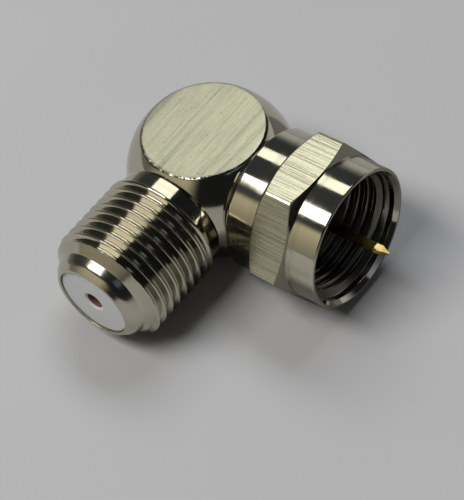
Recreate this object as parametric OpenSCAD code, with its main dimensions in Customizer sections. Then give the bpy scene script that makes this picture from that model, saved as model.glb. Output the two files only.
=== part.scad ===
// Right-angle coaxial adapter: a threaded jack on one side and, square to it, a plug with a
// captive coupling nut and a bare centre pin. The two ports meet in a ball with milled flats.
// The lower flat lies on Z = 0, the plug points along +X and the jack along -Y.

/* [Elbow ball] */
// Diameter of the ball
ball_d = 13; // [12.6:0.1:15]
// Distance from the lower flat to the upper flat
flats_w = 9.1; // [8.4:0.1:10]
// Diameter of the ball's spot face behind the jack's neck
jack_spot_d = 8; // [7.2:0.1:8.8]
// Diameter of the ball's spot face behind the coupling nut
plug_spot_d = 8.8; // [8:0.1:9.5]
// Diameter of the wiring chamber's bore on the plug axis
plug_chamber_d = 4.8; // [4.2:0.1:5.2]
// Diameter of the wiring chamber's bore on the jack axis
jack_chamber_d = 5; // [4.4:0.1:5.4]
// Depth of each chamber bore past the crossing of the port axes
chamber_back = 2; // [1.6:0.1:3]
// Metal left between the two pressed-in port sockets
socket_wall = 0.15; // [0.1:0.05:0.3]

/* [Jack barrel] */
// Diameter of the plain neck between the ball and the thread
neck_d = 8.8; // [8.2:0.1:9.2]
// Length of the plain neck
neck_len = 1.16; // [0.8:0.02:2.4]
// Outside diameter of the jack thread
jack_thread_d = 9.44; // [9.3:0.02:9.6]
// Length of the jack thread
jack_thread_len = 6.35; // [5:0.05:9]
// Crests of the jack thread per inch of its length
threads_per_inch = 32; // [28:1:36]
// Width of the flat land on each crest
crest_land = 0.3; // [0.2:0.02:0.4]
// Length of the cone from the thread down to the nose
bevel_len = 0.65; // [0.4:0.05:1]
// Diameter of the nose at the foot of the bevel
nose_d = 7.7; // [7.2:0.1:8.2]
// Diameter of the nose where its taper meets the rounded front
nose_front_d = 7.3; // [7:0.1:7.6]
// Length of the nose
nose_len = 1.1; // [0.9:0.1:1.6]
// Width of the flat rim round the nose's mouth
nose_rim = 0.3; // [0.2:0.05:0.5]
// Diameter of the spigot pressed into the ball
spigot_d = 6.4; // [6:0.1:7]

/* [Jack insulators and contact] */
// Diameter of the white bead in the nose
bead_d = 5.9; // [5.4:0.1:6.2]
// Thickness of the bead
bead_t = 1.3; // [0.9:0.1:2]
// Depth of the bead's face below the rim
bead_recess = 0.15; // [0.1:0.05:0.5]
// Diameter of the hole through the bead
bead_hole_d = 1.35; // [1.3:0.05:1.5]
// Diameter of the funnel at the mouth of that hole
funnel_d = 1.8; // [1.6:0.1:2.4]
// Depth of the funnel
funnel_len = 0.45; // [0.2:0.05:0.7]
// Length of the insulator behind the spring contact
rear_insulator_len = 4; // [2:0.1:5]
// Outside diameter of the spring contact
contact_d = 1.9; // [1.8:0.1:2.4]
// Bore of the spring contact
contact_bore_d = 1; // [0.8:0.05:1.05]
// Depth of that bore
contact_bore_len = 5.5; // [4:0.1:6]
// Width of the slot that parts the contact's two leaves
slot_w = 0.3; // [0.15:0.05:0.35]
// Length of that slot
slot_len = 4; // [2:0.1:5]
// Length of the contact's tail past the crossing
contact_tail = 1.2; // [0.9:0.1:1.5]

/* [Coupling nut] */
// Diameter of the nut's plain ends
nut_d = 10.9; // [10.6:0.1:11.2]
// Length of the nut
nut_len = 8.3; // [7.8:0.05:11]
// Diameter of the nut's rear face inside its chamfer
nut_rear_d = 9.5; // [9:0.1:10.2]
// Length of the rear chamfer
rear_chamfer = 0.55; // [0.3:0.05:0.9]
// Distance across the hexagon's flats
hex_af = 11.3; // [11.3:0.1:11.8]
// Diameter that the hexagon's corners are turned to
hex_land_d = 12.9; // [12.6:0.1:13]
// Distance from the nut's rear face to the full corners of the hexagon
hex_start = 3.35; // [3:0.05:4.2]
// Length of the full corners of the hexagon
hex_len = 2.15; // [1.5:0.05:3]
// Length of the cone at the rear of the hexagon
hex_cone_rear = 0.6; // [0.3:0.05:1.1]
// Length of the cone at the front of the hexagon
hex_cone_front = 0.4; // [0.3:0.05:1.1]
// Length of the inward lip that holds the nut on
lip_len = 1.3; // [1:0.1:1.6]
// Wall of the nut outside the relief behind the thread
relief_wall = 0.65; // [0.55:0.05:0.8]
// Length of that relief
relief_len = 1.25; // [1.2:0.05:1.8]
// Minor diameter of the nut's thread
nut_bore_d = 8.7; // [8.6:0.05:8.9]
// Wall of the nut outside the plain counterbore at its mouth
mouth_wall = 0.5; // [0.45:0.05:0.6]
// Depth of the counterbore, with its bevels
counterbore_len = 1.15; // [0.8:0.05:1.5]
// Width of the flat rim round the nut's mouth
mouth_rim = 0.15; // [0.1:0.05:0.25]
// Length of each bevel in the bore
mouth_bevel = 0.35; // [0.2:0.05:0.38]
// Break on the outer edge of the mouth
mouth_edge = 0.08; // [0.04:0.02:0.16]

/* [Post and centre pin] */
// Outside diameter of the post that the nut turns on
post_d = 6.6; // [6:0.1:7]
// Bore of the post
post_bore_d = 4.8; // [4.2:0.1:5.2]
// Thickness of the post's flange
flange_t = 0.9; // [0.7:0.05:0.95]
// Diameter of the pin's shank inside the insulator
shank_d = 1.2; // [1.15:0.05:1.3]
// Diameter of the free end of the pin
pin_d = 0.8; // [0.7:0.02:0.9]
// Length of the pin in front of the post
pin_free = 8.7; // [8:0.05:11]
// Length of the pinched tip
tip_len = 1.15; // [0.8:0.05:1.6]
// Width of the tip at its shoulder
tip_w = 0.88; // [0.8:0.02:0.9]
// Thickness of the tip at its shoulder
tip_t = 0.62; // [0.5:0.02:0.7]
// Width of the tip across its bevelled corners
tip_across = 0.75; // [0.7:0.01:0.78]
// Width of the tip at its point
tip_point = 0.14; // [0.08:0.02:0.2]
// Length over which the round pin swells into the tip's shoulder
tip_flare = 0.3; // [0.2:0.05:0.5]

/* [Fits] */
// Radial gap round each pressed-in piece
press_gap = 0.01; // [0.005:0.005:0.02]
// Radial running clearance between the nut and the post
turn_gap = 0.06; // [0.03:0.01:0.09]
// End play of the nut at each of its faces
end_play = 0.1; // [0.05:0.05:0.2]
// Radial clearance between the post's flange and the nut's thread
flange_gap = 0.25; // [0.15:0.05:0.35]

/* [Hidden] */
$fn = 96;

nickel = [0.76, 0.74, 0.68];
white_plastic = [0.9, 0.9, 0.88];
gold = [0.85, 0.66, 0.25];
spring_brass = [0.62, 0.43, 0.22];

cut = 0.1;                  // overrun of every cutting tool
axis_h = flats_w / 2;       // height of the port axes above the lower flat
seam_turn = 135;            // the ball is revolved from a seam opposite both ports

// Seats on the ball: each port's spot face lies where that port's own circle meets the ball.
function seat_on_ball(d) = sqrt(pow(ball_d / 2, 2) - pow(d / 2, 2));
jack_seat = seat_on_ball(jack_spot_d);
plug_seat = seat_on_ball(plug_spot_d);
// Both sockets stop short of each other at this distance from the crossing.
socket_floor = max(post_d, spigot_d) / 2 + socket_wall;

// Stations along the jack axis
thread_pitch = 25.4 / threads_per_inch;
thread_start = jack_seat + neck_len;
thread_end = thread_start + jack_thread_len;
nose_start = thread_end + bevel_len;
jack_reach = nose_start + nose_len;
bead_front = jack_reach - bead_recess;
bead_back = bead_front - bead_t;
mouth_d = bead_d + 2 * press_gap;
rim_r = mouth_d / 2 + nose_rim;
nose_round = nose_front_d / 2 - rim_r;
spigot_chamfer = 0.15;

// Stations along the plug axis
nut_rear = plug_seat + end_play;
nut_front = nut_rear + nut_len;
lip_front = nut_rear + lip_len;
flange_back = lip_front + end_play;
post_front = flange_back + flange_t;
flange_d = nut_bore_d - 2 * flange_gap;
flange_chamfer = 0.2;
pin_tip = post_front + pin_free;
pin_tail = shank_d;         // the shank ends this far past the crossing
insulator_gap = 0.35;       // air between an insulator and what crosses in front of it

// Places a piece drawn along +Z on the plug axis or on the jack axis.
module on_plug_axis() {
  translate([0, 0, axis_h]) rotate([0, 90, 0]) children();
}

module on_jack_axis() {
  translate([0, 0, axis_h]) rotate([90, 0, 0]) children();
}

// A cylinder between two stations on its axis
module rod(d, from, to) {
  translate([0, 0, from]) cylinder(d = d, h = to - from);
}

// A straight-sided cone between two stations on its axis
module cone(d_from, d_to, from, to) {
  translate([0, 0, from]) cylinder(d1 = d_from, d2 = d_to, h = to - from);
}

// What one port takes out of the ball: the spot face, the socket and the chamber bore.
module port_cut(seat, socket_d, chamber_d) {
  rod(2 * ball_d, seat, ball_d);
  rod(socket_d + 2 * press_gap, socket_floor, seat + cut);
  rod(chamber_d, -chamber_back, socket_floor + cut);
}

// Ball with an upper and a lower flat, and a socket for each port
module elbow_body() {
  color(nickel)
  difference() {
    translate([0, 0, axis_h]) rotate([0, 0, seam_turn])
      rotate_extrude() intersection() {
        circle(d = ball_d);
        translate([0, -axis_h]) square([ball_d, flats_w]);
      }
    on_plug_axis() port_cut(plug_seat, post_d, plug_chamber_d);
    on_jack_axis() port_cut(jack_seat, spigot_d, jack_chamber_d);
  }
}

// Half outline of the barrel: spigot, neck, thread, bevel, tapered nose with a rounded front
module barrel_outline() {
  spigot_r = spigot_d / 2;
  union() {
    polygon([
      [0, socket_floor],
      [spigot_r - spigot_chamfer, socket_floor],
      [spigot_r, socket_floor + spigot_chamfer],
      [spigot_r, jack_seat],
      [neck_d / 2, jack_seat],
      [neck_d / 2, thread_start],
      [jack_thread_d / 2, thread_start],
      [jack_thread_d / 2, thread_end],
      [nose_d / 2, nose_start],
      [nose_front_d / 2, jack_reach - nose_round],
      [rim_r, jack_reach - nose_round],
      [rim_r, jack_reach],
      [0, jack_reach]
    ]);
    intersection() {
      translate([rim_r, jack_reach - nose_round]) circle(r = nose_round);
      translate([rim_r - cut, jack_reach - nose_round - cut]) square(2 * nose_round);
    }
  }
}

// Half outline of one 60 degree groove of the thread, sharp at its root
module thread_groove() {
  half_w = (thread_pitch - crest_land) / 2;
  slope = tan(30);
  crest_r = jack_thread_d / 2;
  polygon([
    [crest_r - half_w / slope, 0],
    [crest_r + cut, half_w + cut * slope],
    [crest_r + cut, -half_w - cut * slope]
  ]);
}

// The grooves of every whole turn of the thread, as plain rings at the thread's own pitch
module thread_rings() {
  turns = floor(jack_thread_len / thread_pitch + 0.01);
  for (turn = [0 : turns - 1])
    translate([0, 0, thread_start + (turn + 0.5) * thread_pitch])
      rotate_extrude() thread_groove();
}

// Threaded barrel, bored for the rear insulator and counterbored for the front bead
module jack_barrel() {
  color(nickel)
  on_jack_axis() difference() {
    rotate_extrude() barrel_outline();
    thread_rings();
    rod(jack_chamber_d, socket_floor - cut, bead_back + cut);
    rod(mouth_d, bead_back, jack_reach + cut);
  }
}

// White bead that closes the nose and guides the mating wire into the contact
module jack_front_bead() {
  color(white_plastic)
  on_jack_axis() difference() {
    rod(bead_d, bead_back, bead_front);
    rod(bead_hole_d, bead_back - cut, bead_front + cut);
    cone(bead_hole_d, funnel_d, bead_front - funnel_len, bead_front);
    rod(funnel_d, bead_front, bead_front + cut);
  }
}

// Insulator that carries the contact in the barrel's rear half
module jack_rear_insulator() {
  from = plug_chamber_d / 2 + insulator_gap;
  color(white_plastic)
  on_jack_axis() difference() {
    rod(jack_chamber_d - 2 * press_gap, from, from + rear_insulator_len);
    rod(contact_d + 2 * press_gap, from - cut, from + rear_insulator_len + cut);
  }
}

// Spring contact: a bored and slotted rod, cross-drilled at its tail for the pin's shank
module jack_contact() {
  color(spring_brass)
  difference() {
    on_jack_axis() difference() {
      rod(contact_d, -contact_tail, bead_back);
      rod(contact_bore_d, bead_back - contact_bore_len, bead_back + cut);
      translate([-contact_d, -slot_w / 2, bead_back - slot_len])
        cube([2 * contact_d, slot_w, slot_len + cut]);
    }
    on_plug_axis() rod(shank_d + 2 * press_gap, -contact_d, contact_d);
  }
}

// Flanged post, pressed into the ball, that the nut turns on
module plug_post() {
  color(nickel)
  on_plug_axis() difference() {
    union() {
      cone(post_d - 2 * spigot_chamfer, post_d, socket_floor, socket_floor + spigot_chamfer);
      rod(post_d, socket_floor + spigot_chamfer, flange_back);
      rod(flange_d, flange_back, post_front - flange_chamfer);
      cone(flange_d, flange_d - 2 * flange_chamfer, post_front - flange_chamfer, post_front);
    }
    rod(post_bore_d, socket_floor - cut, post_front + cut);
  }
}

// Insulator that carries the pin through the post
module plug_insulator() {
  from = contact_d / 2 + insulator_gap;
  color(white_plastic)
  on_plug_axis() difference() {
    union() {
      rod(plug_chamber_d - 2 * press_gap, from, socket_floor);
      rod(post_bore_d - 2 * press_gap, socket_floor, post_front);
    }
    rod(shank_d + 2 * press_gap, from - cut, post_front + cut);
  }
}

// Outline of the pinched tip, seen along the pinch: w wide at the shoulder, narrow at the point
module tip_outline(w) {
  shoulder = pin_tip - tip_len;
  polygon([
    [-tip_point / 2, shoulder - tip_flare],
    [tip_point / 2, shoulder - tip_flare],
    [w / 2, shoulder],
    [tip_point / 2, pin_tip],
    [-tip_point / 2, pin_tip],
    [-w / 2, shoulder]
  ]);
}

// Extrudes an outline drawn across and along the axis, thick enough to cover the pin.
module slab() {
  rotate([90, 0, 0]) linear_extrude(2 * pin_d, center = true) children();
}

// Centre pin: shank in the contact and insulator, thin free end, and a pinched spear tip
module centre_pin() {
  color(gold)
  on_plug_axis() {
    rod(shank_d, -pin_tail, post_front);
    rod(pin_d, post_front, pin_tip - tip_len);
    intersection() {
      rotate([0, 0, 90]) slab() tip_outline(tip_w);
      slab() tip_outline(tip_t);
      rotate([0, 0, 45]) translate([-tip_across / 2, -tip_across / 2, post_front])
        cube([tip_across, tip_across, pin_free + cut]);
    }
  }
}

// Half outline of the turned nut blank, before the hexagon is milled
module nut_outline() {
  end_r = nut_d / 2;
  hex_rear = nut_rear + hex_start;
  hex_front = hex_rear + hex_len;
  polygon([
    [0, nut_rear],
    [nut_rear_d / 2, nut_rear],
    [end_r, nut_rear + rear_chamfer],
    [end_r, hex_rear - hex_cone_rear],
    [hex_land_d / 2, hex_rear],
    [hex_land_d / 2, hex_front],
    [end_r, hex_front + hex_cone_front],
    [end_r, nut_front - mouth_edge],
    [end_r - mouth_edge, nut_front],
    [0, nut_front]
  ]);
}

// Everything that is bored out of the nut, from the lip to the mouth
module nut_bore() {
  thread_back = lip_front + relief_len;
  thread_front = nut_front - counterbore_len;
  relief_d = nut_d - 2 * relief_wall;
  counterbore_d = nut_d - 2 * mouth_wall;
  mouth_open_d = nut_d - 2 * (mouth_edge + mouth_rim);
  rod(post_d + 2 * turn_gap, nut_rear - cut, lip_front + cut);
  rod(relief_d, lip_front, thread_back - mouth_bevel);
  cone(relief_d, nut_bore_d, thread_back - mouth_bevel, thread_back);
  rod(nut_bore_d, thread_back - cut, thread_front + cut);
  cone(nut_bore_d, counterbore_d, thread_front, thread_front + mouth_bevel);
  rod(counterbore_d, thread_front + mouth_bevel, nut_front - mouth_bevel);
  cone(counterbore_d, mouth_open_d, nut_front - mouth_bevel, nut_front);
  rod(mouth_open_d, nut_front, nut_front + cut);
}

// Hexagonal coupling nut, held on the post by its inward lip
module coupling_nut() {
  hex_d = hex_af / cos(30);
  color(nickel)
  on_plug_axis() difference() {
    intersection() {
      rotate_extrude() nut_outline();
      rotate([0, 0, 30]) translate([0, 0, nut_rear - cut])
        cylinder(d = hex_d, h = nut_len + 2 * cut, $fn = 6);
    }
    nut_bore();
  }
}

elbow_body();
jack_barrel();
jack_front_bead();
jack_rear_insulator();
jack_contact();
plug_post();
plug_insulator();
centre_pin();
coupling_nut();
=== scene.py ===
"""Looks of a right-angle coaxial adapter: milled ball, threaded jack, hexagonal coupling nut.

Every visible piece is a surface worked out on a grid of points round its own axis.
Lengths are in metres; MM turns a size in millimetres into metres.
"""
import math

import bmesh
import bpy
import numpy as np
from mathutils import Matrix, Vector


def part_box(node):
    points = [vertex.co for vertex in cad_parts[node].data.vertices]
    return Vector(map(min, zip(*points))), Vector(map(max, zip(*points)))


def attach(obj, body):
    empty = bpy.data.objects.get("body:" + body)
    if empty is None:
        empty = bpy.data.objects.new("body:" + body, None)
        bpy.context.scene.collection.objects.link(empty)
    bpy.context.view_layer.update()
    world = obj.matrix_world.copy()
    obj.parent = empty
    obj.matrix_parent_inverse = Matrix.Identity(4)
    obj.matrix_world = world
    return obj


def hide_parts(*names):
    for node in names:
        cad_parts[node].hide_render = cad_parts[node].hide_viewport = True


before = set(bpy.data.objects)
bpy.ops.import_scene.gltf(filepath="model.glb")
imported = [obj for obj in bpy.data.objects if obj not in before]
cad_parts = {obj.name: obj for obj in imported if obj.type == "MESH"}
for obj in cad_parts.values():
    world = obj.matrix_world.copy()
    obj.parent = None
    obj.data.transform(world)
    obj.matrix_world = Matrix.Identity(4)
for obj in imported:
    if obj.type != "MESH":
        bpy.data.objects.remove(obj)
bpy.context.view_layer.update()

MM = 0.001
TURN = 2 * math.pi

# ---------------------------------------------------------------- places, from the CAD frame

ball_low, ball_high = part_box("elbow_body")
barrel_low, barrel_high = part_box("jack_barrel")
bead_low, bead_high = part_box("jack_front_bead")
nut_low, nut_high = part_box("coupling_nut")
post_low, post_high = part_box("plug_post")
pin_low, pin_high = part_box("centre_pin")

BALL_R = -ball_low.x
FLAT_Z = ball_high.z
AXIS_Z = FLAT_Z / 2
PLUG_SEAT = ball_high.x
JACK_SEAT = -ball_low.y
SOCKET_FLOOR = -barrel_high.y
JACK_REACH = -barrel_low.y
CREST_R = barrel_high.x
BEAD_FRONT = -bead_low.y
BEAD_BACK = -bead_high.y
BEAD_R = bead_high.x
NUT_REAR = nut_low.x
NUT_FRONT = nut_high.x
HEX_HALF = nut_high.z - AXIS_Z
LAND_R = nut_high.y
POST_FRONT = post_high.x
PIN_TAIL = pin_low.x
PIN_TIP = pin_high.x
SHANK_R = pin_high.y

# ---------------------------------------------------------------- sizes inside each piece

THREAD_PITCH = 25.4 / 32 * MM
THREAD_SHARP = THREAD_PITCH * math.sqrt(3) / 2

FLAT_MARGIN = 0.2 * MM      # from the flat's outline to the last plain ring of the flat
FLAT_EDGE = 0.1 * MM        # from the outline to where the edge begins to turn down
NIBBLE = 0.03 * MM          # how far that place wanders inwards
BURR_LEAST = 0.01 * MM
BURR_MOST = 0.22 * MM
BURR_SIDE = math.radians(-93)   # where the cutter left the metal, round Z from +X
BURR_TEETH = 150
BURR_WAVES = 40

NECK_R = 4.4 * MM
NECK_LEN = 1.16 * MM
THREAD_LEN = 6.35 * MM
BEVEL_LEN = 0.65 * MM
NOSE_R = 3.85 * MM
NOSE_FOOT_LEN = 0.06 * MM
NOSE_FOOT_RISE = 0.08 * MM
NOSE_TAPER = math.radians(20)
NOSE_TAPER_LEN = 0.62 * MM
RIM_R = 3.15 * MM
MOUTH_R = 2.96 * MM
CHAMBER_R = 2.5 * MM
SPIGOT_R = 3.2 * MM
OUTER_DEPTH = 0.49 * MM

BEAD_HOLE_R = 0.675 * MM
FUNNEL_R = 0.82 * MM
FUNNEL_LEN = 0.14 * MM
BEAD_EASES = np.array([0.05, 0.15, 0.14, 0.03]) * MM

NUT_R = 5.45 * MM
NUT_REAR_R = 4.75 * MM
REAR_CHAMFER = 0.55 * MM
HEX_START = 3.35 * MM
HEX_LEN = 2.15 * MM
HEX_CONE_REAR = 0.6 * MM
HEX_CONE_FRONT = 0.4 * MM
LIP_LEN = 1.3 * MM
LIP_R = 3.36 * MM
RELIEF_R = 4.8 * MM
RELIEF_LEN = 1.25 * MM
NUT_MINOR_R = 4.35 * MM
INNER_DEPTH = 0.42 * MM
COUNTER_R = 4.95 * MM
COUNTER_LEN = 1.15 * MM
MOUTH_BEVEL = 0.35 * MM
MOUTH_EDGE = 0.08 * MM
MOUTH_RIM = 0.15 * MM

PIN_R = 0.4 * MM
TIP_LEN = 1.15 * MM
TIP_FLARE = 0.3 * MM
TIP_HALF_W = 0.44 * MM
TIP_HALF_T = 0.31 * MM
TIP_HALF_ACROSS = 0.375 * MM
TIP_POINT = 0.07 * MM

CUT_EDGE = 0.02 * MM        # rounding where one cut meets another
PINCHED_EDGE = 0.03 * MM    # rounding of the edges of the pin's tip
FLANK_EDGE = 0.07 * MM      # rounding at the crest and the root of a thread
ROOT_SHARE = 0.58           # share of the sharp thread's lost height that is lost at the root
EASE_LIMIT = 0.38           # the longest ease, as a share of the shorter edge
SUPPORT = 1.25              # where an edge's further point lies, in eases from the corner

# ---------------------------------------------------------------- arrays


def soft_min(a, b, soft):
    """The smaller of a and b. Within soft of each other, a parabola rounds the crossing:
    min(a, b) - soft * h**2 / 4, where h = 1 - |a - b| / soft."""
    h = np.clip(1 - np.abs(a - b) / soft, 0, 1)
    return np.minimum(a, b) - soft * h * h / 4


def soft_max(a, b, soft):
    """The larger of a and b, rounded in the same way."""
    return -soft_min(-a, -b, soft)


def smooth_step(low, high, x):
    """0 below low, 1 above high and 3t**2 - 2t**3 between them."""
    t = np.clip((x - low) / (high - low), 0, 1)
    return t * t * (3 - 2 * t)


def eased(corners, ease, steps=6):
    """A polyline whose every corner C is a parabola (1-u)**2 A + 2u(1-u) C + u**2 B.

    A and B lie on the two edges at the distance ease from C. A further point beyond each keeps
    the straight part flat under smooth shading. The two ends stay sharp.
    corners is a list of (station, radius); ease is one length or one for each inner corner.
    """
    c = np.array(corners, float)
    inner = c[1:-1, None, :]
    before = c[:-2] - c[1:-1]
    after = c[2:] - c[1:-1]
    reach_in = np.linalg.norm(before, axis=1)
    reach_out = np.linalg.norm(after, axis=1)
    longest = EASE_LIMIT * np.minimum(reach_in, reach_out)
    e = np.minimum(np.broadcast_to(ease, len(inner)), longest)
    to_a = (before / reach_in[:, None] * e[:, None])[:, None, :]
    to_b = (after / reach_out[:, None] * e[:, None])[:, None, :]
    u = np.linspace(0, 1, steps)[None, :, None]
    curves = inner + (1 - u) ** 2 * to_a + u ** 2 * to_b
    curves = np.concatenate([inner + SUPPORT * to_a, curves, inner + SUPPORT * to_b], 1)
    return np.concatenate([c[:1], curves.reshape(-1, 2), c[-1:]])


def value_noise(x, cells, seed):
    """Smooth noise from 0 to 1 along x, which repeats after cells units: random values at the
    whole numbers, joined by smooth steps."""
    values = np.random.default_rng(seed).random(cells)
    low = np.floor(x).astype(int)
    t = smooth_step(0, 1, x - low)
    return values[low % cells] * (1 - t) + values[(low + 1) % cells] * t


def round_axis(origin, along, across, up, station, radius, angle):
    """Points origin + station * along + radius * (cos(angle) * across + sin(angle) * up)."""
    station, radius, angle = np.broadcast_arrays(station, radius, angle)
    ring = np.cos(angle)[..., None] * across + np.sin(angle)[..., None] * up
    return origin + station[..., None] * along + radius[..., None] * ring


X_AXIS, Y_AXIS, Z_AXIS = np.eye(3)
CROSSING = np.array([0, 0, AXIS_Z])


def on_plug(station, radius, angle):
    """Points round the plug axis. Angle 0 is towards +Y and a quarter turn is up."""
    return round_axis(CROSSING, X_AXIS, Y_AXIS, Z_AXIS, station, radius, angle)


def on_jack(station, radius, angle):
    """Points round the jack axis. Angle 0 is towards +X and a quarter turn is up."""
    return round_axis(CROSSING, -Y_AXIS, X_AXIS, Z_AXIS, station, radius, angle)


def screw_phase(station, angle, start):
    """Turns of a right-handed screw between start and a point at that station and angle."""
    return (station - start) / THREAD_PITCH - angle / TURN


def thread_rise(phase, depth):
    """Height of a 60 degree thread above its root: a triangle wave as tall as the sharp
    thread, cut off at 0 and at depth, with both cuts rounded."""
    wave = np.abs(2 * (phase - np.floor(phase)) - 1) * THREAD_SHARP
    rise = wave - (THREAD_SHARP - depth) * ROOT_SHARE
    return soft_max(soft_min(rise, depth, FLANK_EDGE), 0 * rise, FLANK_EDGE)


# ---------------------------------------------------------------- meshes

SHARP_ANGLE = math.radians(40)
WELD_REACH = 1e-7


def signed_volume(points, quads):
    """Six times the volume inside a closed mesh of quads, negative if they face inwards."""
    a, b, c, d = (points[quads[:, i]] for i in range(4))
    return np.einsum("ij,ij->", a, np.cross(b, c) + np.cross(c, d))


def grid_quads(rows, cols, close_rows):
    """Corner numbers of the quads over a grid of points whose columns close into rings."""
    r = np.arange(rows if close_rows else rows - 1)[:, None]
    c = np.arange(cols)[None, :]
    r2 = (r + 1) % rows
    c2 = (c + 1) % cols
    corners = [r * cols + c, r2 * cols + c, r2 * cols + c2, r * cols + c2]
    return np.stack(np.broadcast_arrays(*corners), -1).reshape(-1, 4)


def grid_piece(name, points, materials, tags=None, poles=False):
    """Mesh over a grid of points whose columns close round the axis.

    Without poles the rows close too, as round a bored piece. With poles the first and the last
    row are each one point. tags gives the material number of each quad, row by column.
    """
    quads = grid_quads(*points.shape[:2], close_rows=not poles)
    flat = points.reshape(-1, 3)
    if signed_volume(flat, quads) < 0:
        quads = quads[:, ::-1]
    mesh = bpy.data.meshes.new(name)
    mesh.from_pydata(flat.tolist(), [], quads.tolist())
    for m in materials:
        mesh.materials.append(m)
    if tags is not None:
        mesh.polygons.foreach_set("material_index", np.asarray(tags, np.int32).ravel())
    mesh.polygons.foreach_set("use_smooth", np.ones(len(quads), bool))
    if poles:
        weld_poles(mesh)
    mesh.set_sharp_from_angle(angle=SHARP_ANGLE)
    piece = bpy.data.objects.new(name, mesh)
    bpy.context.scene.collection.objects.link(piece)
    return piece


def weld_poles(mesh):
    """Joins the points of each end row into one, so that the poles are closed."""
    shape = bmesh.new()
    shape.from_mesh(mesh)
    bmesh.ops.remove_doubles(shape, verts=shape.verts, dist=WELD_REACH)
    shape.to_mesh(mesh)
    shape.free()


def finish_piece(piece, body, slot, *nodes):
    """Says which body carries the piece and which CAD nodes it stands for, and hides those nodes.
    slot is not used.
    """
    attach(piece, body)
    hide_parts(*nodes)


# ---------------------------------------------------------------- shader helpers


def new_group(name, inputs, outputs):
    """An empty shader node group. inputs are (name, type, default), outputs (name, type)."""
    group = bpy.data.node_groups.new(name, "ShaderNodeTree")
    for label, kind, default in inputs:
        socket = group.interface.new_socket(label, in_out="INPUT",
                                            socket_type="NodeSocket" + kind)
        if default is not None:
            socket.default_value = default
    for label, kind in outputs:
        group.interface.new_socket(label, in_out="OUTPUT",
                                   socket_type="NodeSocket" + kind)
    return group


class Nodes:
    """Adds nodes to a tree and links them: an input given as a socket is linked."""

    def __init__(self, tree):
        self.tree = tree

    def put(self, socket, value):
        if isinstance(value, bpy.types.NodeSocket):
            self.tree.links.new(value, socket)
        elif value is not None:
            socket.default_value = value

    def add(self, kind, inputs=(), **settings):
        node = self.tree.nodes.new("ShaderNode" + kind)
        for key, value in settings.items():
            setattr(node, key, value)
        for key, value in dict(inputs).items():
            self.put(node.inputs[key], value)
        return node

    def math(self, operation, a, b=None, clamp=False):
        node = self.add("Math", operation=operation, use_clamp=clamp)
        self.put(node.inputs[0], a)
        self.put(node.inputs[1], b)
        return node.outputs[0]

    def times(self, first, *others):
        for other in others:
            first = self.math("MULTIPLY", first, other)
        return first

    def split(self, vector):
        return self.add("SeparateXYZ", {"Vector": vector}).outputs

    def noise(self, vector, scale, detail=2.0, roughness=0.5):
        inputs = {"Vector": vector, "Scale": scale, "Detail": detail, "Roughness": roughness}
        return self.add("TexNoise", inputs).outputs["Fac"]

    def ramp(self, value, low, high, to_low=0.0, to_high=1.0, smooth=True):
        kind = "SMOOTHSTEP" if smooth else "LINEAR"
        inputs = {"Value": value, "From Min": low, "From Max": high,
                  "To Min": to_low, "To Max": to_high}
        return self.add("MapRange", inputs, interpolation_type=kind).outputs["Result"]

    def mix(self, factor, a, b):
        node = self.add("Mix", data_type="RGBA")
        self.put(node.inputs[0], factor)
        self.put(node.inputs[6], a)
        self.put(node.inputs[7], b)
        return node.outputs[2]

    def group(self, group, inputs):
        node = self.add("Group")
        node.node_tree = group
        for key, value in inputs.items():
            self.put(node.inputs[key], value)
        return node.outputs


def colour(r, g, b):
    return (r, g, b, 1.0)


def ends(group):
    """The sockets that a group's inputs come from and those that its outputs go to."""
    return group.nodes.new("NodeGroupInput").outputs, group.nodes.new("NodeGroupOutput").inputs


def make_tool_marks():
    """Fine parallel lines left by a tool: noise drawn out along one direction.

    Stretch is the pattern's scale on each axis, small along the lines. Height feeds a bump,
    Line is where single lines are cut deeper, and Streak is a slow, broad variation.
    """
    group = new_group("tool_marks", [("Vector", "Vector", None), ("Stretch", "Vector", (1, 1, 1))],
                      [("Height", "Float"), ("Line", "Float"), ("Streak", "Float")])
    n = Nodes(group)
    given, out = ends(group)
    scaled = n.add("VectorMath", operation="MULTIPLY")
    n.put(scaled.inputs[0], given["Vector"])
    n.put(scaled.inputs[1], given["Stretch"])
    fine = n.noise(scaled.outputs[0], 1.0, 3.0, 0.65)
    medium = n.noise(scaled.outputs[0], 0.3, 2.0, 0.5)
    broad = n.noise(scaled.outputs[0], 0.085, 2.0, 0.5)
    n.put(out["Height"], n.math("ADD", fine, n.times(medium, 0.3)))
    n.put(out["Line"], n.ramp(n.math("ADD", fine, n.times(medium, 0.4)), 0.69, 0.82))
    n.put(out["Streak"], n.ramp(broad, 0.45, 0.72))
    return group


def make_handling():
    """Handled metal: Smudge is where fingers dulled it, Nick where it was scratched."""
    group = new_group("handling", [("Vector", "Vector", None), ("Scale", "Float", 1.0)],
                      [("Smudge", "Float"), ("Nick", "Float")])
    n = Nodes(group)
    given, out = ends(group)
    n.put(out["Smudge"], n.ramp(n.noise(given["Vector"], given["Scale"], 3.0, 0.6), 0.42, 0.7))
    finer = n.times(given["Scale"], 6.0)
    cracks = n.add("TexVoronoi", {"Vector": given["Vector"], "Scale": finer},
                   feature="DISTANCE_TO_EDGE").outputs["Distance"]
    lines = n.ramp(cracks, 0.0, 0.02, 1.0, 0.0)
    here = n.ramp(n.noise(given["Vector"], given["Scale"], 1.0), 0.58, 0.66)
    n.put(out["Nick"], n.times(lines, here))
    return group


TOOL_MARKS = make_tool_marks()
HANDLING = make_handling()

TOOL_MARK_HEIGHT = 0.02 * MM
NICKEL = colour(0.57, 0.54, 0.43)
NICKEL_DULL = colour(0.46, 0.43, 0.35)
# the ball's flat: satin nickel, made paler than the hexagon's by a painted highlight for the flat
# that faces the lamps
MILLED_BALL_LIT = colour(0.79, 0.78, 0.59)
MILLED_HEX = colour(0.62, 0.6, 0.46)
MILLED_DARK = colour(0.36, 0.35, 0.27)


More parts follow.
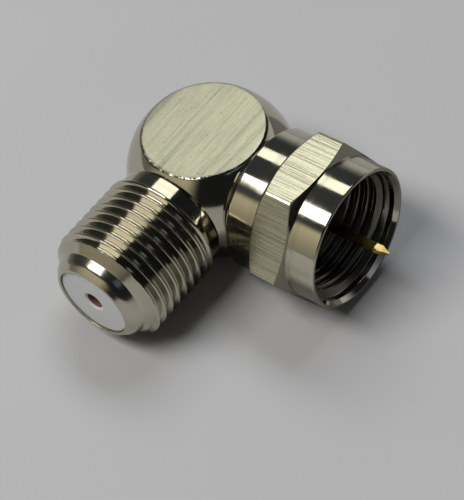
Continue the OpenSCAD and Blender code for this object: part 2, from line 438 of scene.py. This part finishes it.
def material(name):
    """A new material, its node helper, its Principled shader and its object coordinates."""
    made = bpy.data.materials.new(name)
    made.use_nodes = True
    n = Nodes(made.node_tree)
    shader = made.node_tree.nodes["Principled BSDF"]
    place = n.add("TexCoord").outputs["Object"]
    return made, n, shader, place


def bumped(n, shader, height, strength, distance):
    """Feeds height to the shader's normal. distance is the height of the marks."""
    inputs = {"Height": height, "Strength": strength, "Distance": distance}
    n.put(shader.inputs["Normal"], n.add("Bump", inputs).outputs["Normal"])


def turned_nickel(name, stretch, roughness, marks):
    """Bright nickel plate over turned brass. stretch is large along the axis of turning, and
    marks is how strongly the turning shows."""
    made, n, shader, place = material(name)
    tool = n.group(TOOL_MARKS, {"Vector": place, "Stretch": stretch})
    hand = n.group(HANDLING, {"Vector": place, "Scale": 320.0})
    tone = n.mix(n.times(tool["Streak"], 0.5), NICKEL, NICKEL_DULL)
    n.put(shader.inputs["Base Color"], n.mix(hand["Nick"], tone, MILLED_DARK))
    dull = n.math("ADD", n.times(hand["Smudge"], 0.07), n.times(tool["Streak"], 0.05))
    n.put(shader.inputs["Roughness"], n.math("ADD", dull, roughness))
    n.put(shader.inputs["Metallic"], 1.0)
    bumped(n, shader, tool["Height"], marks, TOOL_MARK_HEIGHT)
    return made


def milled_nickel(name, base, stretch, lines, streaks, rough, metallic):
    """Satin face left by a milling cutter, plated: parallel lines with darker streaks.

    lines and streaks are how much the single lines and the broad streaks darken it. What
    metallic leaves comes back matt, from grooves finer than the bump can show.
    """
    made, n, shader, place = material(name)
    tool = n.group(TOOL_MARKS, {"Vector": place, "Stretch": stretch})
    pits = n.ramp(n.noise(place, 2600.0, 2.0), 0.7, 0.76)
    grain = n.ramp(n.noise(place, 5200.0, 2.0, 0.6), 0.48, 0.7)
    marks = n.math("ADD", n.times(tool["Line"], lines), n.times(tool["Streak"], streaks))
    marks = n.math("ADD", marks, n.times(grain, 0.16))
    marks = n.math("ADD", marks, n.times(pits, 0.35), clamp=True)
    n.put(shader.inputs["Base Color"], n.mix(marks, base, MILLED_DARK))
    n.put(shader.inputs["Roughness"],
          n.ramp(tool["Height"], 0.3, 1.0, rough - 0.06, rough + 0.06))
    n.put(shader.inputs["Metallic"], metallic)
    bumped(n, shader, tool["Height"], 0.35, TOOL_MARK_HEIGHT)
    return made


def white_plastic(name):
    """Smooth moulded plastic, a little mottled and dusty."""
    made, n, shader, place = material(name)
    mottle = n.noise(place, 900.0, 3.0)
    dust = n.ramp(n.noise(place, 4200.0, 2.0), 0.6, 0.72)
    tone = n.mix(mottle, colour(0.59, 0.6, 0.59), colour(0.67, 0.68, 0.66))
    n.put(shader.inputs["Base Color"], n.mix(dust, tone, colour(0.66, 0.65, 0.6)))
    n.put(shader.inputs["Roughness"], n.ramp(mottle, 0.3, 0.7, 0.42, 0.55))
    bumped(n, shader, mottle, 0.1, 0.04 * MM)
    return made


def hole_shade_plastic(name):
    """The hole's wall in the bead, painted dark brown: painted shade down the hole, brown as the
    bronze contact deep in it.
    """
    made, n, shader, place = material(name)
    patches = n.noise(place, 1800.0, 3.0)
    n.put(shader.inputs["Base Color"], n.mix(patches, colour(0.13, 0.07, 0.05),
                                             colour(0.2, 0.12, 0.09)))
    n.put(shader.inputs["Roughness"], n.ramp(patches, 0.3, 0.7, 0.4, 0.6))
    bumped(n, shader, patches, 0.1, 0.03 * MM)
    return made


def plain_metal(name, base, dark, roughness, stretch):
    """Drawn or plated metal of one colour, with faint lines of the given stretch."""
    made, n, shader, place = material(name)
    tool = n.group(TOOL_MARKS, {"Vector": place, "Stretch": stretch})
    n.put(shader.inputs["Base Color"], n.mix(tool["Streak"], base, dark))
    n.put(shader.inputs["Roughness"],
          n.ramp(tool["Height"], 0.4, 1.1, roughness, roughness + 0.12))
    n.put(shader.inputs["Metallic"], 1.0)
    bumped(n, shader, tool["Height"], 0.15, TOOL_MARK_HEIGHT)
    return made


def gold_shaded_to_post(name):
    """The pin's plating: gold at the tip, painted dark brown towards the post, a painted shade for
    the end deep inside the nut.
    """
    made, n, shader, place = material(name)
    along = n.math("ADD", n.split(place)[0], n.times(n.noise(place, 1500.0), 1.0 * MM))
    out_of_shade = n.ramp(along, PIN_TIP - 3.6 * MM, PIN_TIP - 1.2 * MM)
    tool = n.group(TOOL_MARKS, {"Vector": place, "Stretch": ALONG_X})
    gold = n.mix(tool["Streak"], colour(0.52, 0.42, 0.16), colour(0.36, 0.27, 0.09))
    # the dark brown towards the post is painted shade
    n.put(shader.inputs["Base Color"], n.mix(out_of_shade, colour(0.13, 0.085, 0.04), gold))
    n.put(shader.inputs["Roughness"], n.ramp(out_of_shade, 0.0, 1.0, 0.38, 0.16))
    n.put(shader.inputs["Metallic"], 1.0)
    bumped(n, shader, tool["Height"], 0.1, TOOL_MARK_HEIGHT)
    return made


# the marks' scale on each axis, small along the lines
ALONG_X = (14000.0, 250.0, 250.0)   # lines round the plug axis
ALONG_Y = (250.0, 14000.0, 250.0)   # lines round the jack axis
ROUND_BALL = (900.0, 900.0, 6000.0)
LINES_ON_HEX = (130.0, 11500.0, 11500.0)
LINES_ON_FLAT = (15000.0, 420.0, 2000.0)

ball_nickel = turned_nickel("ball nickel", ROUND_BALL, 0.08, 0.04)
barrel_nickel = turned_nickel("barrel nickel", ALONG_Y, 0.075, 0.05)
nose_nickel = turned_nickel("nose nickel", ALONG_Y, 0.16, 0.05)
nut_nickel = turned_nickel("nut nickel", ALONG_X, 0.07, 0.05)
# the nut's bore past the mouth: nickel painted dark, a painted shade for the deep inside
bore_painted_shade = plain_metal("nut bore painted shade", colour(0.27, 0.26, 0.21), colour(0.17, 0.16, 0.13), 0.2,
                          ALONG_X)
# the ball flat's colour holds a painted highlight over its satin finish
flat_nickel = milled_nickel("milled ball flat", MILLED_BALL_LIT, LINES_ON_FLAT,
                            lines=0.26, streaks=0.5, rough=0.32, metallic=0.9)
hex_nickel = milled_nickel("milled hexagon", MILLED_HEX, LINES_ON_HEX,
                           lines=0.75, streaks=0.12, rough=0.19, metallic=1.0)
bead_white = white_plastic("white bead")
hole_painted_shade = hole_shade_plastic("hole painted shade")
contact_bronze = plain_metal("contact bronze", colour(0.42, 0.26, 0.15), colour(0.2, 0.12, 0.07),
                             0.38, ALONG_Y)
pin_gold = gold_shaded_to_post("pin gold")

# ---------------------------------------------------------------- ball


def make_ball():
    """The ball, revolved about Z, with a milled flat at each end and a spot face at each port.

    The half outline runs from the middle of the upper flat over its burred edge and down the
    sphere to the lower flat. The burr stands out by noise round the edge, times the fifth power
    of (1 + cos(angle from the side where the cutter left)) / 2. The spot faces are the planes
    that no point passes.
    """
    cols = 540
    angle = np.linspace(0, TURN, cols, endpoint=False)[None, :]
    flat_r = math.sqrt(BALL_R ** 2 - (FLAT_Z / 2) ** 2)
    half = math.acos(FLAT_Z / 2 / BALL_R)
    ease = 0.02
    slope = np.linspace(half + ease, math.pi - half - ease, 140)[:, None]

    def round_noise(cells, seed):
        return value_noise(angle / TURN * cells, cells, seed)

    exit_side = 0.5 + 0.5 * np.cos(angle - BURR_SIDE)
    teeth = round_noise(BURR_TEETH, 7) ** 1.5
    coarse = round_noise(BURR_WAVES, 8)
    burr = BURR_LEAST + BURR_MOST * exit_side ** 5 * teeth * (0.35 + coarse)
    inner = flat_r - FLAT_EDGE - NIBBLE * round_noise(210, 9)

    plain = np.linspace(0, 1, 12)[:, None] * (flat_r - FLAT_MARGIN)
    flat_rows = plain * np.ones_like(angle)
    top = FLAT_Z * np.ones_like(flat_rows)
    edge_r = np.concatenate([inner, inner + 0.03 * MM + 0.5 * burr, inner + 0.05 * MM + burr,
                             flat_r - 0.02 * MM + 0.6 * burr])
    edge_z = np.concatenate([FLAT_Z + 0 * burr, FLAT_Z - 0.004 * MM + 0.25 * burr,
                             FLAT_Z - 0.02 * MM + 0 * burr, FLAT_Z - 0.05 * MM - 0.2 * burr])
    round_r = BALL_R * np.sin(slope) * np.ones_like(angle)
    round_z = AXIS_Z + BALL_R * np.cos(slope) * np.ones_like(angle)
    low_r = flat_rows[::-1]
    low_z = np.zeros_like(flat_rows)
    radius = np.concatenate([flat_rows, edge_r, round_r, low_r])
    height = np.concatenate([top, edge_z, round_z, low_z])

    points = np.stack([radius * np.cos(angle), radius * np.sin(angle), height], -1)
    points[..., 0] = np.minimum(points[..., 0], PLUG_SEAT)
    points[..., 1] = np.maximum(points[..., 1], -JACK_SEAT)

    rows = len(radius) - 1
    tags = np.zeros((rows, cols), int)
    tags[: len(flat_rows) + 2] = 1
    tags[-len(flat_rows) + 1:] = 1
    piece = grid_piece("ball", points, [ball_nickel, flat_nickel], tags, poles=True)
    finish_piece(piece, "adapter", "ball_nickel", "elbow_body")


# ---------------------------------------------------------------- jack


def make_barrel():
    """The jack's barrel, revolved about the jack axis as one closed loop of outline.

    On the thread, the radius is the smaller of the blank's outline and the screw: root plus
    rise, where the rise follows the phase of the screw. The groove fades in at the neck. The
    nose is a straight taper whose end is rounded over towards the rim.
    """
    cols = 216
    thread_start = JACK_SEAT + NECK_LEN
    thread_end = thread_start + THREAD_LEN
    nose_start = thread_end + BEVEL_LEN
    taper_end = nose_start + NOSE_TAPER_LEN
    taper_r = NOSE_R - NOSE_TAPER_LEN * math.tan(NOSE_TAPER)

    back = eased([(SOCKET_FLOOR, CHAMBER_R), (SOCKET_FLOOR, SPIGOT_R), (JACK_SEAT, SPIGOT_R),
                  (JACK_SEAT, NECK_R), (thread_start, NECK_R), (thread_start + 0.1 * MM, CREST_R),
                  (thread_start + 0.3 * MM, CREST_R)], 0.05 * MM)
    turns = np.linspace(thread_start + 0.32 * MM, nose_start - 0.1 * MM, 300)
    blank = soft_min(CREST_R + 0 * turns,
                     CREST_R - (turns - thread_end) * (CREST_R - NOSE_R) / BEVEL_LEN, 0.06 * MM)
    threads = np.stack([turns, blank], -1)
    front = eased([(nose_start - NOSE_FOOT_LEN, NOSE_R + NOSE_FOOT_RISE), (nose_start, NOSE_R),
                   (taper_end, taper_r), (JACK_REACH, RIM_R), (JACK_REACH, MOUTH_R),
                   (BEAD_BACK, MOUTH_R), (BEAD_BACK, CHAMBER_R), (SOCKET_FLOOR, CHAMBER_R)],
                  np.array([0.04, 0.23, 0.05, 0.03, 0.05, 0.05]) * MM, 12)[:-1]
    outline = np.concatenate([back, threads, front])

    angle = np.linspace(0, TURN, cols, endpoint=False)[None, :]
    station = outline[:, :1] + 0 * angle
    radius = outline[:, 1:] + 0 * angle
    phase = screw_phase(station, angle, thread_end)
    fade = smooth_step(thread_start - 0.1 * MM, thread_start + 0.7 * MM, station)
    root = CREST_R - OUTER_DEPTH * fade
    screw = root + thread_rise(phase, OUTER_DEPTH) * fade
    outside = (np.arange(len(outline)) < len(back) + len(threads) + 2)[:, None]
    cut = outside & (station > thread_start)
    radius = np.where(cut, soft_min(radius, screw, CUT_EDGE), radius)

    nose = (outline[:, 0] >= nose_start - NOSE_FOOT_LEN) & (outline[:, 1] > MOUTH_R)
    tags = np.repeat(nose.astype(int)[:, None], cols, axis=1)
    piece = grid_piece("threaded_barrel", on_jack(station, radius, angle),
                       [barrel_nickel, nose_nickel], tags)
    finish_piece(piece, "adapter", "barrel_nickel", "jack_barrel")


def make_bead():
    """The white bead: a closed outline with a dished funnel, revolved about the jack axis.

    The wall of the hole, from the back to the foot of the funnel, is painted dark brown as painted
    shade.
    """
    outline = eased([(BEAD_BACK, BEAD_HOLE_R), (BEAD_FRONT - FUNNEL_LEN, BEAD_HOLE_R),
                     (BEAD_FRONT, FUNNEL_R), (BEAD_FRONT, BEAD_R), (BEAD_BACK, BEAD_R),
                     (BEAD_BACK, BEAD_HOLE_R)],
                    BEAD_EASES, 8)[:-1]
    angle = np.linspace(0, TURN, 160, endpoint=False)[None, :]
    points = on_jack(outline[:, :1], outline[:, 1:], angle)
    # the hole's wall, from the back to the funnel's foot, gets the painted shade
    painted_shade_wall = outline[:, 0] < BEAD_FRONT - FUNNEL_LEN
    painted_shade_wall &= outline[:, 1] < BEAD_HOLE_R + 0.01 * MM
    tags = np.repeat(painted_shade_wall.astype(int)[:, None], angle.size, axis=1)
    piece = grid_piece("white_bead", points, [bead_white, hole_painted_shade], tags)
    finish_piece(piece, "adapter", "white_plastic", "jack_front_bead")


# ---------------------------------------------------------------- nut


HEX_EDGE_STEP = 0.35        # degrees between the rows of points at the edge of a flat


def hexagon_angles():
    """Angles round the nut, close together at the edges of each flat."""
    edge = math.degrees(math.acos(HEX_HALF / LAND_R))
    near = np.arange(-2, 3) * HEX_EDGE_STEP
    across = np.linspace(-edge + 1.4, edge - 1.4, 31)
    side = np.concatenate([-edge + near, across, edge + near]) + 30
    return np.radians(np.concatenate([side + 60 * k for k in range(6)]))


def make_nut():
    """The coupling nut, a closed loop of outline round the plug axis.

    Outside, the radius is max(plain end, min(rear cone, front cone, hexagon)), where the
    hexagon is half the width across flats over the cosine of the angle from the flat's middle,
    limited by the turned corners. The rows bend to follow the arcs where cone and flat meet.
    Inside, the thread cuts its screw outwards from the minor diameter.
    """
    angle = hexagon_angles()[None, :]
    from_middle = (angle % (TURN / 6)) - TURN / 12
    hexagon = soft_min(HEX_HALF / np.cos(from_middle), LAND_R, CUT_EDGE)
    full_rear = NUT_REAR + HEX_START
    full_front = full_rear + HEX_LEN
    rear_slope = (LAND_R - NUT_R) / HEX_CONE_REAR
    front_slope = (LAND_R - NUT_R) / HEX_CONE_FRONT
    foot = full_rear - HEX_CONE_REAR
    toe = full_front + HEX_CONE_FRONT
    rear_arc = foot + (hexagon - NUT_R) / rear_slope
    front_arc = toe - (hexagon - NUT_R) / front_slope

    rear = eased([(NUT_REAR, LIP_R), (NUT_REAR, NUT_REAR_R), (NUT_REAR + REAR_CHAMFER, NUT_R),
                  (foot - 0.2 * MM, NUT_R)], 0.06 * MM)[1:]
    front = eased([(toe + 0.2 * MM, NUT_R), (NUT_FRONT - MOUTH_EDGE, NUT_R),
                   (NUT_FRONT, NUT_R - MOUTH_EDGE), (NUT_FRONT, NUT_R - MOUTH_EDGE - MOUTH_RIM)],
                  0.04 * MM)[:-1]
    near = np.array([-0.06, -0.03, 0.0, 0.03, 0.06])[:, None] * MM
    share = np.linspace(0, 1, 6)[1:-1, None]
    long_share = np.linspace(0, 1, 14)[1:-1, None]
    level = np.ones_like(angle)

    def between(a, b, s):
        return a * (1 - s) + b * s

    middle = np.concatenate([
        (foot + near) * level, between(foot + near[-1], rear_arc + near[0], share),
        rear_arc + near, between(rear_arc + near[-1], front_arc + near[0], long_share),
        front_arc + near, between(front_arc + near[-1], toe + near[0], share),
        (toe + near) * level])
    cones = soft_min(NUT_R + (middle - foot) * rear_slope,
                     NUT_R + (toe - middle) * front_slope, CUT_EDGE)
    shaped = soft_max(soft_min(cones, hexagon + 0 * middle, 0.04 * MM), NUT_R, 0.03 * MM)

    lip_front = NUT_REAR + LIP_LEN
    thread_back = lip_front + RELIEF_LEN
    thread_front = NUT_FRONT - COUNTER_LEN
    open_r = NUT_R - MOUTH_EDGE - MOUTH_RIM
    mouth = eased([(NUT_FRONT, open_r + 0.08 * MM), (NUT_FRONT, open_r),
                   (NUT_FRONT - MOUTH_BEVEL, COUNTER_R), (thread_front + MOUTH_BEVEL, COUNTER_R),
                   (thread_front + 0.02 * MM, NUT_MINOR_R + 0.03 * MM)], 0.04 * MM)[1:]
    bore = np.linspace(thread_front, thread_back, 112)
    threads = np.stack([bore, NUT_MINOR_R + 0 * bore], -1)
    deep = eased([(thread_back - 0.02 * MM, NUT_MINOR_R), (thread_back - MOUTH_BEVEL, RELIEF_R),
                  (lip_front, RELIEF_R), (lip_front, LIP_R), (NUT_REAR, LIP_R),
                  (NUT_REAR, LIP_R + 0.1 * MM)], 0.05 * MM)
    inside = np.concatenate([mouth, threads, deep])

    station = np.concatenate([rear[:, :1] * level, middle, front[:, :1] * level,
                              inside[:, :1] * level])
    radius = np.concatenate([rear[:, 1:] * level, shaped, front[:, 1:] * level,
                             inside[:, 1:] * level])
    first_inside = len(rear) + len(middle) + len(front)
    phase = screw_phase(station, angle, thread_front) + 0.5
    groove = NUT_MINOR_R + INNER_DEPTH - thread_rise(phase, INNER_DEPTH)
    bored = (np.arange(len(station)) >= first_inside)[:, None]
    threaded = bored & (station > thread_back - 0.1 * MM) & (station < thread_front + 0.3 * MM)
    radius = np.where(threaded, soft_max(radius, groove, CUT_EDGE), radius)

    rows = len(station)
    tags = np.zeros((rows, angle.size), int)
    row = np.arange(rows)
    flats_from = len(rear) + len(near) + len(share) + 2
    flats_to = flats_from + len(near) + len(long_share)
    on_flat = (row >= flats_from) & (row < flats_to)
    edge = math.acos(HEX_HALF / LAND_R)
    quad_middle = from_middle[0] + math.radians(HEX_EDGE_STEP / 2)
    tags[on_flat] = (np.abs(quad_middle) < edge).astype(int)
    # the bore past the mouth takes the dark nickel of painted shade
    tags[first_inside + len(mouth) - 4:] = 2
    piece = grid_piece("hexagonal_nut", on_plug(station, radius, angle),
                       [nut_nickel, hex_nickel, bore_painted_shade], tags)
    finish_piece(piece, "nut", "nut_nickel", "coupling_nut")


# ---------------------------------------------------------------- pin


def make_pin():
    """The centre pin: a round shank and free end, and a tip pinched to a spear.

    At the tip the radius at each angle is the least distance to the sides of a bevelled
    rectangle, whose half width and half thickness grow to the shoulder and shrink to the point.
    """
    shoulder = PIN_TIP - TIP_LEN
    flare = shoulder - TIP_FLARE
    shank = eased([(PIN_TAIL, 0), (PIN_TAIL, SHANK_R), (POST_FRONT, SHANK_R),
                   (POST_FRONT, PIN_R), (flare - 0.1 * MM, PIN_R)], 0.04 * MM)
    along = np.concatenate([np.linspace(flare - 0.08 * MM, shoulder, 16),
                            np.linspace(shoulder, PIN_TIP, 26)[1:]])[:, None]
    angle = np.linspace(0, TURN, 96, endpoint=False)[None, :]

    def half_size(full):
        growing = TIP_POINT + (full - TIP_POINT) * (along - flare) / TIP_FLARE
        shrinking = TIP_POINT + (full - TIP_POINT) * (PIN_TIP - along) / TIP_LEN
        return np.maximum(soft_min(growing, shrinking, PINCHED_EDGE), 0.01 * MM)

    def side(half, turn):
        return half / np.maximum(np.abs(np.cos(angle - math.radians(turn))), 1e-3)

    spear = soft_min(side(half_size(TIP_HALF_W), 0), side(half_size(TIP_HALF_T), 90),
                     PINCHED_EDGE)
    for bevel in (45, 135):
        spear = soft_min(spear, side(TIP_HALF_ACROSS, bevel), PINCHED_EDGE)
    round_part = np.where(along < shoulder - CUT_EDGE, PIN_R, 0.0)
    tip = soft_max(spear, round_part + 0 * spear, CUT_EDGE)
    radius = np.concatenate([shank[:, 1:] + 0 * angle, tip, 0 * angle])
    station = np.concatenate([shank[:, :1], along, [[PIN_TIP]]]) + 0 * angle
    piece = grid_piece("spear_pin", on_plug(station, radius, angle), [pin_gold], poles=True)
    finish_piece(piece, "adapter", "pin_gold", "centre_pin")


make_ball()
make_barrel()
make_bead()
make_nut()
make_pin()

for node, made in {"jack_rear_insulator": bead_white, "plug_insulator": bead_white,
                   "jack_contact": contact_bronze, "plug_post": barrel_nickel}.items():
    node_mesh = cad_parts[node].data
    node_mesh.materials.clear()
    node_mesh.materials.append(made)

# ---------------------------------------------------------------- camera

CAMERA_LENS = 148.84
CAMERA_TARGET = Vector((3.39, -3.24, 0.64)) * MM
CAMERA_DISTANCE = 153.6 * MM
CAMERA_AZIMUTH = math.radians(48.53)
CAMERA_ELEVATION = math.radians(50.16)
CAMERA_ROLL = math.radians(-14.37)

scene = bpy.context.scene
backward = Vector((math.sin(CAMERA_AZIMUTH) * math.cos(CAMERA_ELEVATION),
                   -math.cos(CAMERA_AZIMUTH) * math.cos(CAMERA_ELEVATION),
                   math.sin(CAMERA_ELEVATION)))
camera = bpy.data.objects.new("camera", bpy.data.cameras.new("camera"))
scene.collection.objects.link(camera)
camera.data.lens = CAMERA_LENS
camera.data.clip_start = 0.01
camera.data.clip_end = 10.0
camera.rotation_mode = "QUATERNION"
level_view = backward.to_track_quat("Z", "Y")
camera.rotation_quaternion = level_view @ Matrix.Rotation(CAMERA_ROLL, 3, "Z").to_quaternion()
camera.location = CAMERA_TARGET + backward * CAMERA_DISTANCE
scene.camera = camera

# ---------------------------------------------------------------- floor, surroundings and lamps

FLOOR_COLOUR = colour(0.50, 0.50, 0.505)
FLOOR_CLOUD = colour(0.475, 0.475, 0.48)
# the floor as the metal mirrors it: painted shade, and a painted shadow between the ports
MIRRORED_FLOOR_SHADE = colour(0.46, 0.46, 0.46)
MIRRORED_CORNER_SHADOW = colour(0.2, 0.2, 0.2)
FLOOR_R = 3.0
DOME_R = 1.6
ROOM_LIGHT = colour(0.06, 0.06, 0.065)


def make_floor():
    """A round floor at the height of the lowest contact, level with how the part rests.

    The part rests on the nut's lower flat, the jack's thread and the rim of the ball's lower
    flat. Near the part the floor is the plane through those three points; further out it
    turns level, by a smooth step in the distance from the middle.
    """
    rest = np.array([[NUT_REAR + HEX_START - HEX_CONE_REAR * 0.8, 0, AXIS_Z - HEX_HALF],
                     [0, -(JACK_SEAT + NECK_LEN + THREAD_LEN), AXIS_Z - CREST_R],
                     [-3.3 * MM, 3.3 * MM, 0]])
    plane = np.linalg.solve(np.c_[rest[:, :2], np.ones(3)], rest[:, 2])
    spread = np.concatenate([np.linspace(0, 0.07, 36), np.geomspace(0.08, FLOOR_R, 14)])[:, None]
    angle = np.linspace(0, TURN, 96, endpoint=False)[None, :]
    x = spread * np.cos(angle)
    y = spread * np.sin(angle)
    leaning = plane[0] * x + plane[1] * y + plane[2]
    near = 1 - smooth_step(0.018, 0.05, spread)
    z = leaning * near + nut_low.z * (1 - near)
    points = np.stack([x, y, z + 0 * x], -1)
    quads = grid_quads(*x.shape, close_rows=False)
    mesh = bpy.data.meshes.new("floor")
    mesh.from_pydata(points.reshape(-1, 3).tolist(), [], quads.tolist())
    mesh.polygons.foreach_set("use_smooth", np.ones(len(quads), bool))
    made, n, shader, place = material("floor")
    cloud = n.noise(place, 60.0, 3.0)
    paper = n.mix(cloud, FLOOR_COLOUR, FLOOR_CLOUD)
    # what the metal mirrors: the floor a little darker, a painted shade, and darker still in the
    # corner between the two ports, a painted shadow
    x, y, _ = n.split(place)
    between = n.times(n.ramp(y, -12 * MM, -8 * MM), n.ramp(x, 1 * MM, 3 * MM))
    mirrored = n.mix(between, MIRRORED_FLOOR_SHADE, MIRRORED_CORNER_SHADOW)
    glossy = n.add("LightPath").outputs["Is Glossy Ray"]
    n.put(shader.inputs["Base Color"], n.mix(glossy, paper, mirrored))
    shader.inputs["Roughness"].default_value = 0.75
    mesh.materials.append(made)
    floor = bpy.data.objects.new("floor", mesh)
    scene.collection.objects.link(floor)
    weld_poles(mesh)


def make_surroundings():
    """A dark room for the metal to mirror: a dome that only reflections see.

    By direction, it is dark, with a little haze low beyond the ball, a tan wall on the jack's
    side, a pale backdrop low on the far side and a cool window beyond the plug.
    """
    angle = np.linspace(0, TURN, 64, endpoint=False)[None, :]
    slope = np.linspace(0, math.pi, 33)[:, None]
    points = DOME_R * np.stack([np.sin(slope) * np.cos(angle), np.sin(slope) * np.sin(angle),
                                np.cos(slope) + 0 * angle], -1)
    made = bpy.data.materials.new("surroundings")
    made.use_nodes = True
    tree = made.node_tree
    tree.nodes.clear()
    n = Nodes(tree)
    place = n.add("TexCoord").outputs["Object"]
    unit = n.add("VectorMath", operation="NORMALIZE")
    n.put(unit.inputs[0], place)
    x, y, z = n.split(unit.outputs[0])
    haze = n.times(n.ramp(z, 0.4, 0.0), n.ramp(x, 0.2, -0.8))
    wall = n.times(n.ramp(y, -0.5, -0.72), n.ramp(x, 0.35, 0.0),
                   n.ramp(z, 0.0, 0.55, 0.25, 1.0, smooth=False), n.ramp(z, 0.66, 0.56))
    backdrop = n.times(n.ramp(y, 0.6, 0.85), n.ramp(z, 0.45, 0.1))
    window = n.times(n.ramp(x, 0.58, 0.62), n.ramp(x, 0.78, 0.74),
                     n.ramp(y, -0.32, -0.28), n.ramp(y, 0.34, 0.3))
    tone = n.mix(n.ramp(x, -0.5, 0.4), colour(0.045, 0.05, 0.055), colour(0.012, 0.013, 0.015))
    tone = n.mix(haze, tone, colour(0.2, 0.19, 0.17))
    tone = n.mix(wall, tone, colour(0.62, 0.57, 0.41))
    tone = n.mix(backdrop, tone, colour(0.5, 0.5, 0.5))
    tone = n.mix(window, tone, colour(0.25, 0.29, 0.38))
    glow = n.add("Emission", {"Color": tone, "Strength": 1.0})
    n.put(n.add("OutputMaterial").inputs["Surface"], glow.outputs[0])
    dome = grid_piece("surroundings", points, [made], poles=True)
    dome.visible_camera = False
    dome.visible_diffuse = False
    dome.visible_transmission = False
    dome.visible_shadow = False


def make_lamp(name, place, width, height, seen, unseen, seen_tint, unseen_tint):
    """A level rectangular lamp that shines down, its width along X.

    seen is the radiance of the panel that metal mirrors. unseen is more light from the same
    place that only matt surfaces take, so that the panel's mirror image doesn't burn out.
    """
    for label, radiance, tint in (("", seen, seen_tint), (" fill", unseen, unseen_tint)):
        data = bpy.data.lights.new(name + label, "AREA")
        data.shape = "RECTANGLE"
        data.size = width
        data.size_y = height
        data.energy = radiance * math.pi * width * height
        data.color = tint
        lamp = bpy.data.objects.new(name + label, data)
        scene.collection.objects.link(lamp)
        lamp.location = place
        lamp.visible_glossy = not label


make_floor()
make_surroundings()
make_lamp("back panel", (-0.129, 0.276, 0.5), width=0.422, height=0.2075, seen=1.8,
          unseen=4.0, seen_tint=(1.0, 1.0, 0.91), unseen_tint=(0.95, 1.0, 1.08))
make_lamp("front panel", (-0.131, -0.24, 0.5), width=0.328, height=0.2045, seen=5.0,
          unseen=7.0, seen_tint=(1.0, 0.98, 0.97), unseen_tint=(1.0, 0.99, 0.95))

world = bpy.data.worlds.new("studio")
scene.world = world
world.use_nodes = True
world.node_tree.nodes["Background"].inputs["Color"].default_value = ROOM_LIGHT
scene.view_settings.view_transform = "Standard"
